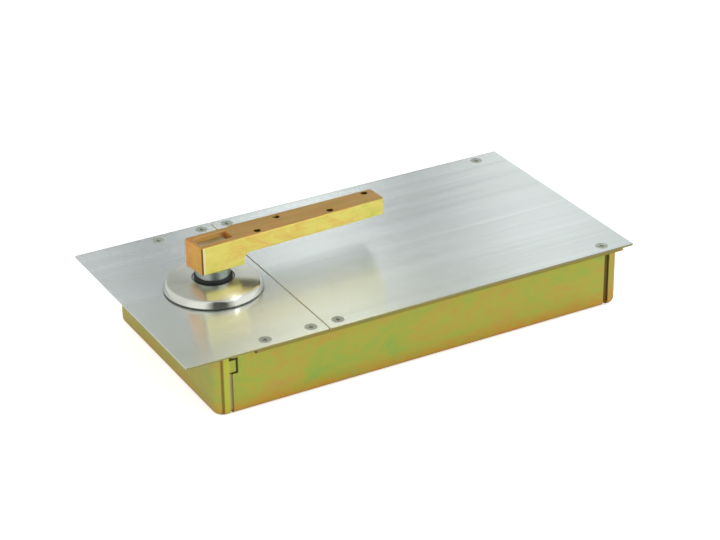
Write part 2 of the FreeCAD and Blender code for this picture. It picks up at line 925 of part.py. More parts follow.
def body_casting():
    x0 = spindle_x - body_nose
    x1 = spindle_x + body_end
    body = rounded_block(x0, x1, -body_half_width, body_half_width, body_bottom, body_top, body_corner)
    for x, side in lug_points():
        low, high = sorted((side * (body_half_width - lug_root), side * lug_reach))
        lug = rounded_block(x - lug_half_length, x + lug_half_length, low, high,
                            body_bottom, body_bottom + lug_thickness, lug_corner)
        body = body.fuse(lug)
    outside = body_half_width + past
    above = body_top + past
    body = body.cut(block(x0 - past, spindle_x + lid_end + lid_gap, -outside, outside, rim_z, above))
    waist_end = lug_places[-1] - lug_half_length - waist_before_lug
    waist = block(spindle_x + lid_end + waist_from_lid, spindle_x + waist_end,
                  -outside, -bore_radius - cylinder_front_wall, body_bottom + lug_thickness, above)
    body = body.cut(waist)
    body = body.cut(chamber(above))
    low_pass = block(spindle_x, spindle_x + bore_start + past, -chamber_pass_half, chamber_pass_half,
                     chamber_z, rim_z - passage_below_rim)
    body = body.cut(low_pass)
    body = body.cut(rod_x(bore_start, body_end + past, 0, axis_z, bore_radius))
    body = body.cut(rod_x(plug_start, body_end + past, 0, axis_z, plug_radius))
    bush_low = chamber_z - bush_depth
    body = body.cut(post(spindle_x, 0, bush_low, chamber_z + past, foot_radius + running_gap + bush_wall))
    body = body.cut(seat_keyway())
    body = body.cut(oil_ways())
    return body.cut(body_screw_holes()).removeSplitter()


def seat_keyway():
    half = seat_key_width / 2 + seat_key_side_gap
    start = seat_start - seat_travel - keyway_lead
    return block(spindle_x + start, spindle_x + plug_start, -half, half,
                 axis_z - bore_radius - seat_key_height, axis_z - bore_radius / 2)


def oil_ways():
    # a channel beside the cylinder, its ports, and the wells of valves and filler
    y = channel_offset
    above = body_top + past
    ways = rod_x(channel_start, body_end + past, y, axis_z, channel_radius)
    for place in port_places:
        ways = ways.fuse(rod_y(spindle_x + place, bore_radius - past, y, axis_z, port_radius))
    well_low = axis_z + channel_radius + valve_well_rise
    for place in valve_places:
        x = spindle_x + place
        ways = ways.fuse(post(x, y, well_low, above, valve_radius + running_gap))
        ways = ways.fuse(post(x, y, axis_z, body_top, valve_tip_radius + valve_tip_gap))
    x = spindle_x + filler_place
    ways = ways.fuse(post(x, y, axis_z, above, filler_radius))
    return ways.fuse(post(x, y, body_top - filler_head, above, filler_head_radius))


def body_screw_holes():
    high = body_bottom + lug_thickness
    low = body_bottom - past
    holes = [post(x, y, low, high + past, m8_hole_radius) for x, y in hold_down_points()]
    holes += [post(x, y, low, high + past, m8_radius) for x, y in levelling_points()]
    depth = body_top - lid_screw_length - past
    holes += [post(x, y, depth, body_top, lid_screw_radius) for x, y in lid_screw_points()]
    for x, side in lug_points():
        y0, y1 = sorted((side * side_screw_start(), side * (lug_reach + past)))
        holes.append(rod_y(x, y0, y1, body_bottom + lug_thickness / 2, side_screw_radius))
    tool = holes[0]
    for hole in holes[1:]:
        tool = tool.fuse(hole)
    return tool


def lid_outline(z0, z1):
    return rounded_block(spindle_x - body_nose, spindle_x + lid_end, -body_half_width, body_half_width,
                         z0, z1, body_corner)


def body_gasket():
    gasket = lid_outline(rim_z, rim_z + gasket_thickness).cut(chamber(body_top))
    for x, y in lid_screw_points():
        gasket = gasket.cut(post(x, y, rim_z - past, body_top, lid_screw_radius))
    # the passage opens the gasket's right side; a strip closes it again
    end = spindle_x + lid_end
    strip = block(end - gasket_strip, end, -chamber_pass_half, chamber_pass_half,
                  rim_z, rim_z + gasket_thickness)
    return gasket.fuse(strip).removeSplitter()


def body_lid():
    low = rim_z + gasket_thickness
    lid = lid_outline(low, body_top)
    lid = lid.fuse(post(spindle_x, 0, low, body_top + lid_boss_height, lid_boss_radius)).removeSplitter()
    lid = lid.cut(post(spindle_x, 0, low - past, body_top, journal_radius + running_gap + bush_wall))
    lid = lid.cut(post(spindle_x, 0, body_top, lip_seal_top + past, journal_radius + lip_seal_width))
    depth = lid_screw_head - lid_screw_radius
    for x, y in lid_screw_points():
        lid = lid.cut(post(x, y, low - past, body_top, lid_screw_radius))
        lid = lid.cut(cone(x, y, body_top - depth, body_top, lid_screw_radius, lid_screw_head))
    return lid


def lid_screws():
    depth = lid_screw_head - lid_screw_radius
    screws = []
    for x, y in lid_screw_points():
        head = cone(x, y, body_top - depth, body_top, lid_screw_radius, lid_screw_head)
        shank = post(x, y, body_top - lid_screw_length, body_top - depth, lid_screw_radius)
        socket = hexagon(x, y, body_top - lid_socket_depth, body_top + past, lid_socket)
        screws.append(union([head, shank]).cut(socket))
    return group(screws)


def upper_bush():
    inner = journal_radius + running_gap
    return tube(spindle_x, 0, rim_z + gasket_thickness, body_top, inner, inner + bush_wall)


def lower_bush():
    inner = foot_radius + running_gap
    return tube(spindle_x, 0, chamber_z - bush_depth, chamber_z, inner, inner + bush_wall)


def lip_seal():
    inner = journal_radius + running_gap
    return tube(spindle_x, 0, body_top, lip_seal_top, inner, journal_radius + lip_seal_width)


def valve(place):
    x, y = spindle_x + place, channel_offset
    top = body_top - valve_top_drop
    stem_low = axis_z + channel_radius + valve_stem_rise
    stem = post(x, y, stem_low, top, valve_radius)
    tip = cone(x, y, axis_z + valve_point_rise, stem_low, valve_point_radius, valve_tip_radius)
    reach = valve_radius + past
    slot = block(x - reach, x + reach, y - valve_slot / 2, y + valve_slot / 2,
                 top - valve_slot_depth, top + past)
    return union([stem, tip]).cut(slot)


def filler_plug():
    x, y = spindle_x + filler_place, channel_offset
    head = post(x, y, body_top - filler_head, body_top, filler_head_radius)
    stem_low = axis_z + channel_radius + filler_stem_rise
    stem = post(x, y, stem_low, body_top - filler_head, filler_radius)
    socket = hexagon(x, y, body_top - filler_socket_depth, body_top + past, filler_socket)
    return union([head, stem]).cut(socket)


def channel_plug():
    return rod_x(body_end - channel_plug_length, body_end, channel_offset, axis_z, channel_radius)


# Feet


def floor_pads():
    pads = []
    for x, y in hold_down_points():
        pads.append(tube(x, y, sheet, sheet + pad_height, m8_radius, pad_radius))
    return group(pads)


def hold_down_screws():
    low = body_bottom + lug_thickness + washer_thickness
    screws = []
    for x, y in hold_down_points():
        head = hexagon(x, y, low, low + m8_head_height, m8_head_across)
        screws.append(union([head, post(x, y, sheet + hold_down_end_gap, low, m8_radius)]))
    return group(screws)


def hold_down_washers():
    low = body_bottom + lug_thickness
    return group([tube(x, y, low, low + washer_thickness, m8_radius + washer_gap, washer_radius)
                  for x, y in hold_down_points()])


def levelling_screws():
    top = body_bottom + lug_thickness + levelling_above_lug
    screws = []
    for x, y in levelling_points():
        screw = post(x, y, sheet, top, m8_radius)
        socket = hexagon(x, y, top - levelling_socket_depth, top + past, levelling_socket)
        screws.append(screw.cut(socket))
    return group(screws)


def side_screws():
    z = body_bottom + lug_thickness / 2
    screws = []
    for x, side in lug_points():
        low, high = sorted((side * side_screw_start(), side * wall_inner))
        screws.append(rod_y(x, low, high, z, side_screw_radius))
    return group(screws)


parts = {
    "cement_case": cement_case,
    "case_end_left": lambda: case_end(-1),
    "case_end_right": lambda: case_end(1),
    "cover_rail_front": lambda: cover_rail(-1),
    "cover_rail_back": lambda: cover_rail(1),
    "cover_plate_short": short_cover,
    "cover_plate_long": long_cover,
    "cover_screws_short": lambda: cover_screws(short_screw_xs),
    "cover_screws_long": lambda: cover_screws(long_screw_xs),
    "spindle_collar": collar,
    "collar_lock_ring": collar_lock_ring,
    "seal_ring": seal_ring,
    "door_arm": door_arm,
    "spindle": spindle,
    "heart_cam": heart_cam,
    "cam_key": key_block,
    "thrust_upper_race": thrust_upper_race,
    "thrust_balls": thrust_balls,
    "thrust_cage": thrust_cage,
    "thrust_lower_race": thrust_lower_race,
    "upper_bush": upper_bush,
    "lower_bush": lower_bush,
    "lip_seal": lip_seal,
    "body_casting": body_casting,
    "body_gasket": body_gasket,
    "body_lid": body_lid,
    "lid_screws": lid_screws,
    "roller_fork": roller_fork,
    "roller_pin": roller_pin,
    "cam_roller": cam_roller,
    "piston": piston,
    "piston_seal": piston_seal,
    "check_ball": check_ball,
    "check_plug": check_plug,
    "main_spring": main_spring,
    "spring_seat": spring_seat,
    "preload_screw": preload_screw,
    "end_plug": end_plug,
    "closing_valve": lambda: valve(valve_places[0]),
    "latching_valve": lambda: valve(valve_places[1]),
    "filler_plug": filler_plug,
    "channel_plug": channel_plug,
    "floor_pads": floor_pads,
    "hold_down_screws": hold_down_screws,
    "hold_down_washers": hold_down_washers,
    "levelling_screws": levelling_screws,
    "side_screws": side_screws,
}

os.makedirs("parts", exist_ok=True)
for name, make in parts.items():
    save(name, make())
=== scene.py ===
import json
import math

import bmesh
import bpy
from mathutils import Matrix, Vector

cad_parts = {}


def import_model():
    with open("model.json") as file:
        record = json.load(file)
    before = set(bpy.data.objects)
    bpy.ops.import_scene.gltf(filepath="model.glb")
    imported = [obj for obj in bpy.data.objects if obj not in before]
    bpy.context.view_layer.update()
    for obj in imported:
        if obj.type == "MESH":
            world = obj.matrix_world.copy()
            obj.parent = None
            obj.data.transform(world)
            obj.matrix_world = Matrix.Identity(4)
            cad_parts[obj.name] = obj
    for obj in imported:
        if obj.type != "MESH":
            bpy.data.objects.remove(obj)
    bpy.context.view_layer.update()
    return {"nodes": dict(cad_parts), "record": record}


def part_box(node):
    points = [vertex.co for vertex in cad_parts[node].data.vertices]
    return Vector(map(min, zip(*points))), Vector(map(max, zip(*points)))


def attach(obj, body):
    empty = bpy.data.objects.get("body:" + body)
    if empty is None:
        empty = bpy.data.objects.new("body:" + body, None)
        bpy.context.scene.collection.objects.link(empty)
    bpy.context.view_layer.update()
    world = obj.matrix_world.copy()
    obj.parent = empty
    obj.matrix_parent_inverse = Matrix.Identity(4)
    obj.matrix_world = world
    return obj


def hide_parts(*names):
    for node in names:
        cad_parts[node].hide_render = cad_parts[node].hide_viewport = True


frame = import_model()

nodes = frame["nodes"]
mm = 0.001

# Photograph: image size, lens and the camera's place in the row frame
image_width = 720
focal_px = 2220.9
camera_place = Vector((-728.6, -1331.2, 827.4)) * mm
camera_yaw = math.radians(28.839)
camera_pitch = math.radians(27.462)
camera_roll = math.radians(-0.809)

# Studio: upright bands on the back wall, as (X of the direction, brightness), a bright band
# overhead for the steep reflections, a front wall, and a dark doorway in it, in degrees
back_bands = [(-0.40, 0.90), (0.0, 0.70), (0.22, 0.46), (0.32, 0.88), (0.347, 0.34), (0.378, 0.60),
              (0.404, 0.98), (0.425, 1.00), (0.446, 0.42), (0.467, 0.62), (0.488, 1.08), (0.503, 1.22),
              (0.524, 1.06), (0.56, 0.75)]
brightest = 2.0
overhead_x, overhead_half, overhead_soft = 0.402, 0.032, 0.014
overhead_low, overhead_high = 0.70, 0.84
overhead_light = 5.2
front_wall = 1.12
front_from, front_to = 0.1, -0.25
doorway_azimuth, doorway_half, doorway_soft = -102.0, 14.0, 22.0
doorway_light = 0.04
studio_tint = (0.97, 1.0, 1.0, 1)
white = (1, 1, 1, 1)
floor_glow = 0.55

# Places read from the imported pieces
bush_low, bush_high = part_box("upper_bush")
spindle_x = (bush_low.x + bush_high.x) / 2
cover_low, cover_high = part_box("cover_plate_long")
cover_top = cover_high.z
seam_x = (cover_low.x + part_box("cover_plate_short")[1].x) / 2
case_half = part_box("cement_case")[1].y
case_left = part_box("case_end_left")[0].x
case_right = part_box("case_end_right")[1].x
rail_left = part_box("cover_rail_front")[0].x
collar_low, collar_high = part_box("spindle_collar")
seal_low, seal_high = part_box("seal_ring")
arm_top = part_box("door_arm")[1].z
arm_turn = math.radians(2.57)
heel_end = -14.0 * mm
arm_front = -11.5 * mm
holes_from = 25.0 * mm
holes_half = 8.7 * mm


def linear(code):
    """An sRGB hex colour as the linear colour that a node socket takes."""
    channels = [int(code[i:i + 2], 16) / 255 for i in (1, 3, 5)]
    values = [c / 12.92 if c <= 0.04045 else ((c + 0.055) / 1.055) ** 2.4 for c in channels]
    return (*values, 1.0)


class Tree:
    """A short way to write a node tree."""

    def __init__(self, owner):
        owner.use_nodes = True
        self.tree = owner.node_tree
        self.tree.nodes.clear()
        self.coordinates = self.add("ShaderNodeTexCoord")

    def add(self, kind, **settings):
        node = self.tree.nodes.new(kind)
        for key, value in settings.items():
            setattr(node, key, value)
        return node

    def link(self, source, target):
        self.tree.links.new(source, target)

    def put(self, node, name, value):
        if isinstance(value, bpy.types.NodeSocket):
            self.link(value, node.inputs[name])
        else:
            node.inputs[name].default_value = value

    def place(self, scale=(1, 1, 1)):
        node = self.add("ShaderNodeMapping")
        self.link(self.coordinates.outputs["Object"], node.inputs["Vector"])
        node.inputs["Scale"].default_value = scale
        return node.outputs["Vector"]

    def noise(self, vector, scale, detail=3.0, roughness=0.55, distortion=0.0):
        node = self.add("ShaderNodeTexNoise")
        self.link(vector, node.inputs["Vector"])
        node.inputs["Scale"].default_value = scale
        node.inputs["Detail"].default_value = detail
        node.inputs["Roughness"].default_value = roughness
        node.inputs["Distortion"].default_value = distortion
        return node.outputs["Fac"]

    def ramp(self, value, stops):
        node = self.add("ShaderNodeValToRGB")
        self.link(value, node.inputs["Fac"])
        elements = node.color_ramp.elements
        while len(elements) < len(stops):
            elements.new(0.5)
        for element, (place, colour) in zip(elements, stops):
            element.position = place
            grey = not isinstance(colour, str)
            element.color = (colour, colour, colour, 1) if grey else linear(colour)
        return node.outputs["Color"]

    def span(self, value, from_low, from_high, to_low, to_high):
        node = self.add("ShaderNodeMapRange")
        for name, number in (("From Min", from_low), ("From Max", from_high),
                             ("To Min", to_low), ("To Max", to_high)):
            node.inputs[name].default_value = number
        self.link(value, node.inputs["Value"])
        return node.outputs["Result"]

    def mix(self, amount, first, second):
        """One colour over another; the colours are sockets or hex codes."""
        node = self.add("ShaderNodeMix", data_type="RGBA")
        self.put(node, "Factor", amount)
        for index, value in ((6, first), (7, second)):
            self.put(node, index, linear(value) if isinstance(value, str) else value)
        return node.outputs[2]

    def math(self, operation, first, second=0.0):
        node = self.add("ShaderNodeMath", operation=operation)
        self.put(node, 0, first)
        self.put(node, 1, second)
        return node.outputs[0]

    def times(self, first, *others):
        """The product of two or more values."""
        for other in others:
            first = self.math("MULTIPLY", first, other)
        return first

    def band(self, value, middle, half, soft):
        """One inside a band about middle, falling to nothing over soft on either side."""
        away = self.math("ABSOLUTE", self.math("SUBTRACT", value, middle))
        return self.span(away, half + soft, half, 0, 1)

    def vector(self, *values):
        node = self.add("ShaderNodeCombineXYZ")
        for index, value in enumerate(values):
            self.put(node, index, value)
        return node.outputs[0]

    def parts_of(self, name):
        """X, Y and Z of a texture coordinate."""
        split = self.add("ShaderNodeSeparateXYZ")
        self.link(self.coordinates.outputs[name], split.inputs[0])
        return split.outputs


class Nodes(Tree):
    """A material with one principled shader."""

    def __init__(self, name):
        self.material = bpy.data.materials.new(name)
        super().__init__(self.material)
        self.shader = self.add("ShaderNodeBsdfPrincipled")
        self.output = self.add("ShaderNodeOutputMaterial")
        self.link(self.shader.outputs["BSDF"], self.output.inputs["Surface"])

    def stretch(self, amount, tangent):
        """Gloss drawn out along a tangent, across the grain."""
        self.shader.inputs["Anisotropic"].default_value = amount
        self.link(tangent, self.shader.inputs["Tangent"])

    def bump(self, height, strength, distance):
        node = self.add("ShaderNodeBump")
        node.inputs["Strength"].default_value = strength
        node.inputs["Distance"].default_value = distance
        self.link(height, node.inputs["Height"])
        self.link(node.outputs["Normal"], self.shader.inputs["Normal"])


def brushed_cover():
    """Stainless sheet with a fine grain along the long side; painted light: a warm reflection to the
    front left, a darker olive front edge that reflects the zinc case, and lighter cut faces at the
    seam.
    """
    n = Nodes("brushed_cover")
    cut_half = cut_soft = 1 * mm
    grain = n.noise(n.place((5, 1100, 60)), 1.0, 4, 0.65)
    band = n.noise(n.place((1.6, 70, 8)), 1.0, 3, 0.6)
    cloud = n.noise(n.place(), 7.0, 2, 0.5)
    tone = n.ramp(n.span(band, 0.3, 0.7, 0, 1), [(0.0, "#C8CDCB"), (1.0, "#D3D8D7")])
    tone = n.mix(0.16, tone, n.ramp(grain, [(0.3, "#A3A8A6"), (0.7, "#E4E8E7")]))
    x, y, _ = n.parts_of("Object")
    # Painted reflection: a warm tint of the collar and arm towards the front left of the plates.
    warm_reflection = n.times(n.span(y, 0.02, -0.1, 0, 1), n.span(x, 0.12, -0.08, 0, 1))
    tone = n.mix(n.times(warm_reflection, 0.55), tone, "#C9C9AE")
    nx, ny, _ = n.parts_of("Normal")
    # Painted reflection: front-facing cut edges are painted darker olive, as if reflecting the zinc
    # case below.
    tone = n.mix(n.span(ny, -0.3, -0.68, 0, 0.92), tone, "#8E8858")
    # Painted light: the cut faces at the seam are painted lighter and made less metallic, so the gap
    # does not read as shade.
    sideways = n.span(n.math("ABSOLUTE", nx), 0.5, 0.9, 0, 1)
    cut = n.times(sideways, n.band(x, seam_x, cut_half, cut_soft))
    tone = n.mix(cut, tone, "#D6CCB0")
    n.link(tone, n.shader.inputs["Base Color"])
    n.link(n.span(cloud, 0.3, 0.7, 0.19, 0.22), n.shader.inputs["Roughness"])
    n.link(n.span(cut, 0, 1, 0.86, 0.1), n.shader.inputs["Metallic"])
    n.stretch(1.0, n.vector(0.0, 1.0, 0.2))
    n.bump(grain, 0.05, 0.0005)
    return n.material


def from_spindle(n):
    """The way from the spindle axis to a point, and its length, as sockets."""
    x, y, _ = n.parts_of("Object")
    dx = n.math("SUBTRACT", x, spindle_x)
    return dx, y, n.math("SQRT", n.math("ADD", n.times(dx, dx), n.times(y, y)))


def polished_collar():
    """Turned stainless: a satin crown with fine rings, a brighter polished rim and painted contact
    shade at the foot, dark next to the plate.
    """
    n = Nodes("polished_collar")
    rim_from, rim_to = 33.8 * mm, 35.2 * mm
    foot_from, foot_to = cover_top + 1.5 * mm, cover_top + 0.9 * mm
    dx, dy, radius = from_spindle(n)
    rings = n.noise(n.vector(radius), 2600.0, 3, 0.7)
    cloud = n.noise(n.place(), 60.0, 3, 0.5)
    rim = n.span(radius, rim_from, rim_to, 0, 1)
    tone = n.ramp(cloud, [(0.3, "#C4C5BA"), (0.7, "#CFD0C4")])
    _, _, z = n.parts_of("Object")
    # Painted contact shade: the foot is darkened close to the plate.
    foot = n.span(z, foot_from, foot_to, 0, 0.85)
    n.link(n.mix(foot, n.mix(rim, tone, "#D8D7CE"), "#23231E"), n.shader.inputs["Base Color"])
    satin = n.span(cloud, 0.3, 0.7, 0.22, 0.27)
    n.link(n.math("SUBTRACT", satin, n.times(rim, 0.12)), n.shader.inputs["Roughness"])
    n.shader.inputs["Metallic"].default_value = 0.92
    n.stretch(0.6, n.vector(dx, dy, -0.02))
    n.bump(rings, 0.08, 0.0002)
    return n.material


def arm_zinc():
    """Golden zinc chromate, coloured by facing: the top painted darker brown-gold and the sides
    painted brighter yellow as painted shade and light, orange at the heel's end, a painted dark
    reflection line and a painted glint at the heel's front corner, and painted shade in the holes."""
    n = Nodes("arm_zinc")
    socket_middle, socket_half, socket_side = 1.5 * mm, 13.0 * mm, 7.8 * mm
    patch = n.noise(n.place((1.0, 1.6, 2.0)), 38.0, 3, 0.6, 0.8)
    streak = n.noise(n.place((20, 160, 220)), 1.0, 4, 0.65)
    fine = n.noise(n.place(), 900.0, 2, 0.6)
    # Colour by facing: the top is painted darker brown-gold and the sides brighter yellow, as painted
    # shade and light; faces towards -X take an orange tone.
    yellows = [(0.28, "#E8E05E"), (0.48, "#FFEE76"), (0.64, "#FCD468"), (0.80, "#F6B25C")]
    side = n.ramp(patch, yellows)
    top = n.ramp(patch, [(0.30, "#9E7A1A"), (0.52, "#AA781E"), (0.72, "#B66C1C")])
    end = n.ramp(patch, [(0.30, "#E6AC3E"), (0.70, "#EA9440")])
    nx, _, nz = n.parts_of("Normal")
    up = n.span(nz, 0.45, 0.85, 0, 1)
    leftward = n.span(nx, -0.25, -0.75, 0, 1)
    colour = n.mix(up, n.mix(leftward, side, end), top)
    colour = n.mix(0.16, colour, n.ramp(streak, [(0.3, "#8A7434"), (0.7, "#F4E6A8")]))
    x, y, z = n.parts_of("Object")
    dx = n.math("SUBTRACT", x, spindle_x)
    cosine, sine = math.cos(arm_turn), math.sin(arm_turn)
    along = n.math("ADD", n.times(dx, cosine), n.times(y, sine))
    across = n.math("SUBTRACT", n.times(y, cosine), n.times(dx, sine))
    upright = n.span(up, 0.4, 0.2, 0, 1)
    inside = n.times(n.band(along, socket_middle, socket_half, 0.4 * mm),
                     n.band(across, 0.0, socket_side, 0.5 * mm))
    colour = n.mix(n.times(inside, upright, 0.75), colour, "#E29E58")
    # Painted dark reflection: a brown line along the heel's front-left vertical edge.
    by_front = n.span(across, arm_front + 1.9 * mm, arm_front + 1.0 * mm, 0, 1)
    line = n.math("MAXIMUM", n.times(leftward, by_front), n.band(nx, -0.62, 0.22, 0.1))
    heel_dark_reflection = n.times(line, n.math("LESS_THAN", along, heel_end + 2.0 * mm))
    colour = n.mix(n.times(heel_dark_reflection, upright, 0.85), colour, "#5A3A14")
    glint = n.times(n.band(along, heel_end + 1.6 * mm, 0.5 * mm, 0.6 * mm),
                    n.span(nx, -0.2, -0.1, 0, 1))
    colour = n.mix(n.times(glint, upright, 0.8), colour, "#FFF6C4")
    # Painted shade in the holes: faces below the top in the hole rows are darkened.
    hole_shade = n.times(n.math("GREATER_THAN", along, holes_from),
                   n.math("LESS_THAN", n.math("ABSOLUTE", across), holes_half))
    hole_shade = n.times(hole_shade, n.math("LESS_THAN", z, arm_top - 0.6 * mm))
    colour = n.mix(n.times(hole_shade, 0.85), colour, "#1E150A")
    n.link(colour, n.shader.inputs["Base Color"])
    n.shader.inputs["Metallic"].default_value = 0.55
    n.link(n.span(streak, 0.3, 0.7, 0.28, 0.42), n.shader.inputs["Roughness"])
    n.bump(n.math("ADD", streak, n.times(fine, 0.4)), 0.12, 0.0003)
    return n.material


def case_zinc():
    """Iridescent zinc chromate on folded sheet: green, yellow and orange clouds, orange along the
    low edge, painted shade in the crease and a painted highlight strip at the left bend, and painted
    shade on the recessed faces in the joints."""
    n = Nodes("case_zinc")
    patch = n.noise(n.place((1.0, 1.0, 1.9)), 17.0, 5, 0.62, 1.4)
    fleck = n.noise(n.place((1.0, 1.0, 1.5)), 78.0, 4, 0.72, 0.8)
    fine = n.noise(n.place(), 1400.0, 2, 0.6)
    clouds = [(0.26, "#86AE58"), (0.40, "#9EB44C"), (0.50, "#B4B348"), (0.58, "#BEAB48"),
              (0.66, "#C69E52"), (0.78, "#BA966A")]
    base = n.ramp(n.math("ADD", n.times(patch, 0.56), n.times(fleck, 0.44)), clouds)
    x, y, z = n.parts_of("Object")
    low = n.times(n.span(z, 13.0 * mm, 1.0 * mm, 0.0, 1.0), n.span(fleck, 0.3, 0.7, 0.5, 1.0))
    colour = n.mix(low, base, "#D28F30")
    nx, _, _ = n.parts_of("Normal")
    colour = n.mix(n.span(nx, -0.4, -0.9, 0, 0.35), colour, "#B3A860")
    front = n.span(y, -case_half + 12.0 * mm, -case_half + 9.0 * mm, 0, 1)
    # Painted shade along the crease at the left bend.
    crease_shade = n.band(x, case_left + 5.5 * mm, 0.6 * mm, 0.8 * mm)
    colour = n.mix(n.times(crease_shade, front, 0.85), colour, "#7E5E26")
    # Painted highlight: a bright strip on the tab beside the left bend, where light catches it.
    bend_highlight = n.band(x, case_left + 9.2 * mm, 1.8 * mm, 1.2 * mm)
    colour = n.mix(n.times(bend_highlight, front, 0.7), colour, "#C6C846")
    shade = n.times(n.span(z, cover_top - 7.5 * mm, cover_top - 3.0 * mm, 0, 0.62), front)
    colour = n.mix(shade, colour, "#7A5E2A")
    # Painted shadow: a dark spot at the left end of the rail, under the cover's edge.
    rail_end_shadow = n.times(n.band(x, rail_left - 1.6 * mm, 2.0 * mm, 0.8 * mm), front)
    rail_end_shadow = n.times(rail_end_shadow, n.span(z, cover_top - 6.2 * mm, cover_top - 5.2 * mm, 0, 0.9))
    colour = n.mix(rail_end_shadow, colour, "#2A2418")
    right_edge = n.times(n.span(x, case_right - 12.0 * mm, case_right - 1.0 * mm, 0, 0.7),
                         n.span(nx, 0.9, 0.6, 0.12, 1.0))
    colour = n.mix(right_edge, colour, "#C8853C")
    # Painted shade on the recessed inner faces in the joints: dark brown in the slot at the left, a
    # lighter tan elsewhere.
    inner = n.math("LESS_THAN", n.math("ABSOLUTE", y), case_half - 1.0 * mm)
    reach = n.times(n.math("GREATER_THAN", x, case_left + 9.5 * mm),
                    n.math("LESS_THAN", x, case_right - 8.5 * mm))
    painted_recess = n.times(inner, reach, n.math("GREATER_THAN", z, 3.2 * mm))
    slot = n.math("MAXIMUM", n.math("GREATER_THAN", x, 0.0),
                  n.math("GREATER_THAN", z, cover_top - 23.5 * mm))
    colour = n.mix(n.times(painted_recess, 0.85), colour, n.mix(slot, "#C0A48C", "#54381C"))
    n.link(colour, n.shader.inputs["Base Color"])
    n.shader.inputs["Metallic"].default_value = 0.55
    n.link(n.span(fleck, 0.3, 0.7, 0.34, 0.5), n.shader.inputs["Roughness"])
    n.bump(fine, 0.06, 0.0002)
    return n.material


def machined(name, dark, light, roughness, metallic=1.0, scale=60.0):
    """A turned or ground metal: two close tones, uneven gloss and a faint texture."""
    n = Nodes(name)
    cloud = n.noise(n.place(), scale, 4, 0.6)
    fine = n.noise(n.place(), scale * 18, 2, 0.6)
    n.link(n.ramp(cloud, [(0.3, dark), (0.7, light)]), n.shader.inputs["Base Color"])
    n.link(n.span(cloud, 0.3, 0.7, roughness, roughness + 0.12), n.shader.inputs["Roughness"])
    n.shader.inputs["Metallic"].default_value = metallic
    n.bump(fine, 0.10, 0.0002)
    return n.material


materials = {
    "cover_steel": brushed_cover(),
    "collar_polish": polished_collar(),
    "arm_zinc": arm_zinc(),
    "case_zinc": case_zinc(),
    "screw_steel": machined("screw_steel", "#A2A69C", "#BABCB0", 0.34, 0.8),
    "machined_steel": machined("machined_steel", "#9CA6A4", "#C2CAC8", 0.28),
    "bearing_steel": machined("bearing_steel", "#A8ACAE", "#C6CACC", 0.14),
    "spring_steel": machined("spring_steel", "#1E2022", "#34383A", 0.35, 0.6),
    "cast_iron": machined("cast_iron", "#3A3E40", "#55595B", 0.55, 0.4, 220.0),
    "black_rubber": machined("black_rubber", "#0E0F0F", "#1C1D1D", 0.5, 0.0, 160.0),
    "bronze": machined("bronze", "#8F6A3C", "#B58A54", 0.35),
    "brass": machined("brass", "#A88C44", "#CDB26A", 0.28),
    "gasket_fibre": machined("gasket_fibre", "#4E4430", "#6B5E42", 0.8, 0.0, 300.0),
    "dark_screw": machined("dark_screw", "#1A1B1D", "#2C2E30", 0.38, 0.7),
}


def paint(obj, slot):
    """One material over the whole piece."""
    obj.data.materials.clear()
    obj.data.materials.append(materials[slot])


node_slot = {row["node"]: row["material_slot"] for row in frame["record"]["subparts"]}


def smooth_by_angle(mesh, degrees=30.0):
    mesh.shade_smooth()
    mesh.set_sharp_from_angle(angle=math.radians(degrees))


def stand_in(node, mesh, body):
    """A piece that takes the node's place, with its material, on its body."""
    piece = bpy.data.objects.new(node + "_piece", mesh)
    bpy.context.scene.collection.objects.link(piece)
    paint(piece, node_slot[node])
    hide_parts(node)
    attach(piece, body)
    return piece


def softened(node, width, body):
    """A piece with the node's own form whose sharp edges are broken by a small round."""
    source = nodes[node]
    mesh = source.data.copy()
    mesh.name = node + "_piece"
    same_place = 0.002 * mm
    flat = math.radians(0.6)
    work = bmesh.new()
    work.from_mesh(mesh)
    bmesh.ops.remove_doubles(work, verts=work.verts, dist=same_place)
    bmesh.ops.dissolve_limit(work, angle_limit=flat, verts=work.verts, edges=work.edges)
    work.to_mesh(mesh)
    work.free()
    piece = stand_in(node, mesh, body)
    bevel = piece.modifiers.new("round", "BEVEL")
    bevel.width = width
    bevel.segments = 2
    bevel.limit_method = "ANGLE"
    bevel.angle_limit = math.radians(35)
    bevel.harden_normals = True
    smooth_by_angle(mesh)


def lathed(node, profile, body, segments=192):
    """A ring about the spindle axis from a closed outline of (radius, height) points."""
    count = len(profile)
    points = []
    for i in range(segments):
        turn = 2 * math.pi * i / segments
        for radius, height in profile:
            points.append((spindle_x + radius * math.cos(turn), radius * math.sin(turn), height))
    faces = []
    for i in range(segments):
        j = (i + 1) % segments
        for k in range(count):
            m = (k + 1) % count
            faces.append((i * count + k, i * count + m, j * count + m, j * count + k))
    mesh = bpy.data.meshes.new(node + "_piece")
    mesh.from_pydata(points, [], faces)
    mesh.update()
    work = bmesh.new()
    work.from_mesh(mesh)
    bmesh.ops.recalc_face_normals(work, faces=work.faces)
    work.to_mesh(mesh)
    work.free()
    stand_in(node, mesh, body)
    smooth_by_angle(mesh, 24.0)


def arc(centre, radius, start, end, steps):
    """Points on a round from one angle to another, in degrees."""
    points = []
    for i in range(steps + 1):
        turn = math.radians(start + (end - start) * i / steps)
        points.append((centre[0] + radius * math.cos(turn), centre[1] + radius * math.sin(turn)))
    return points


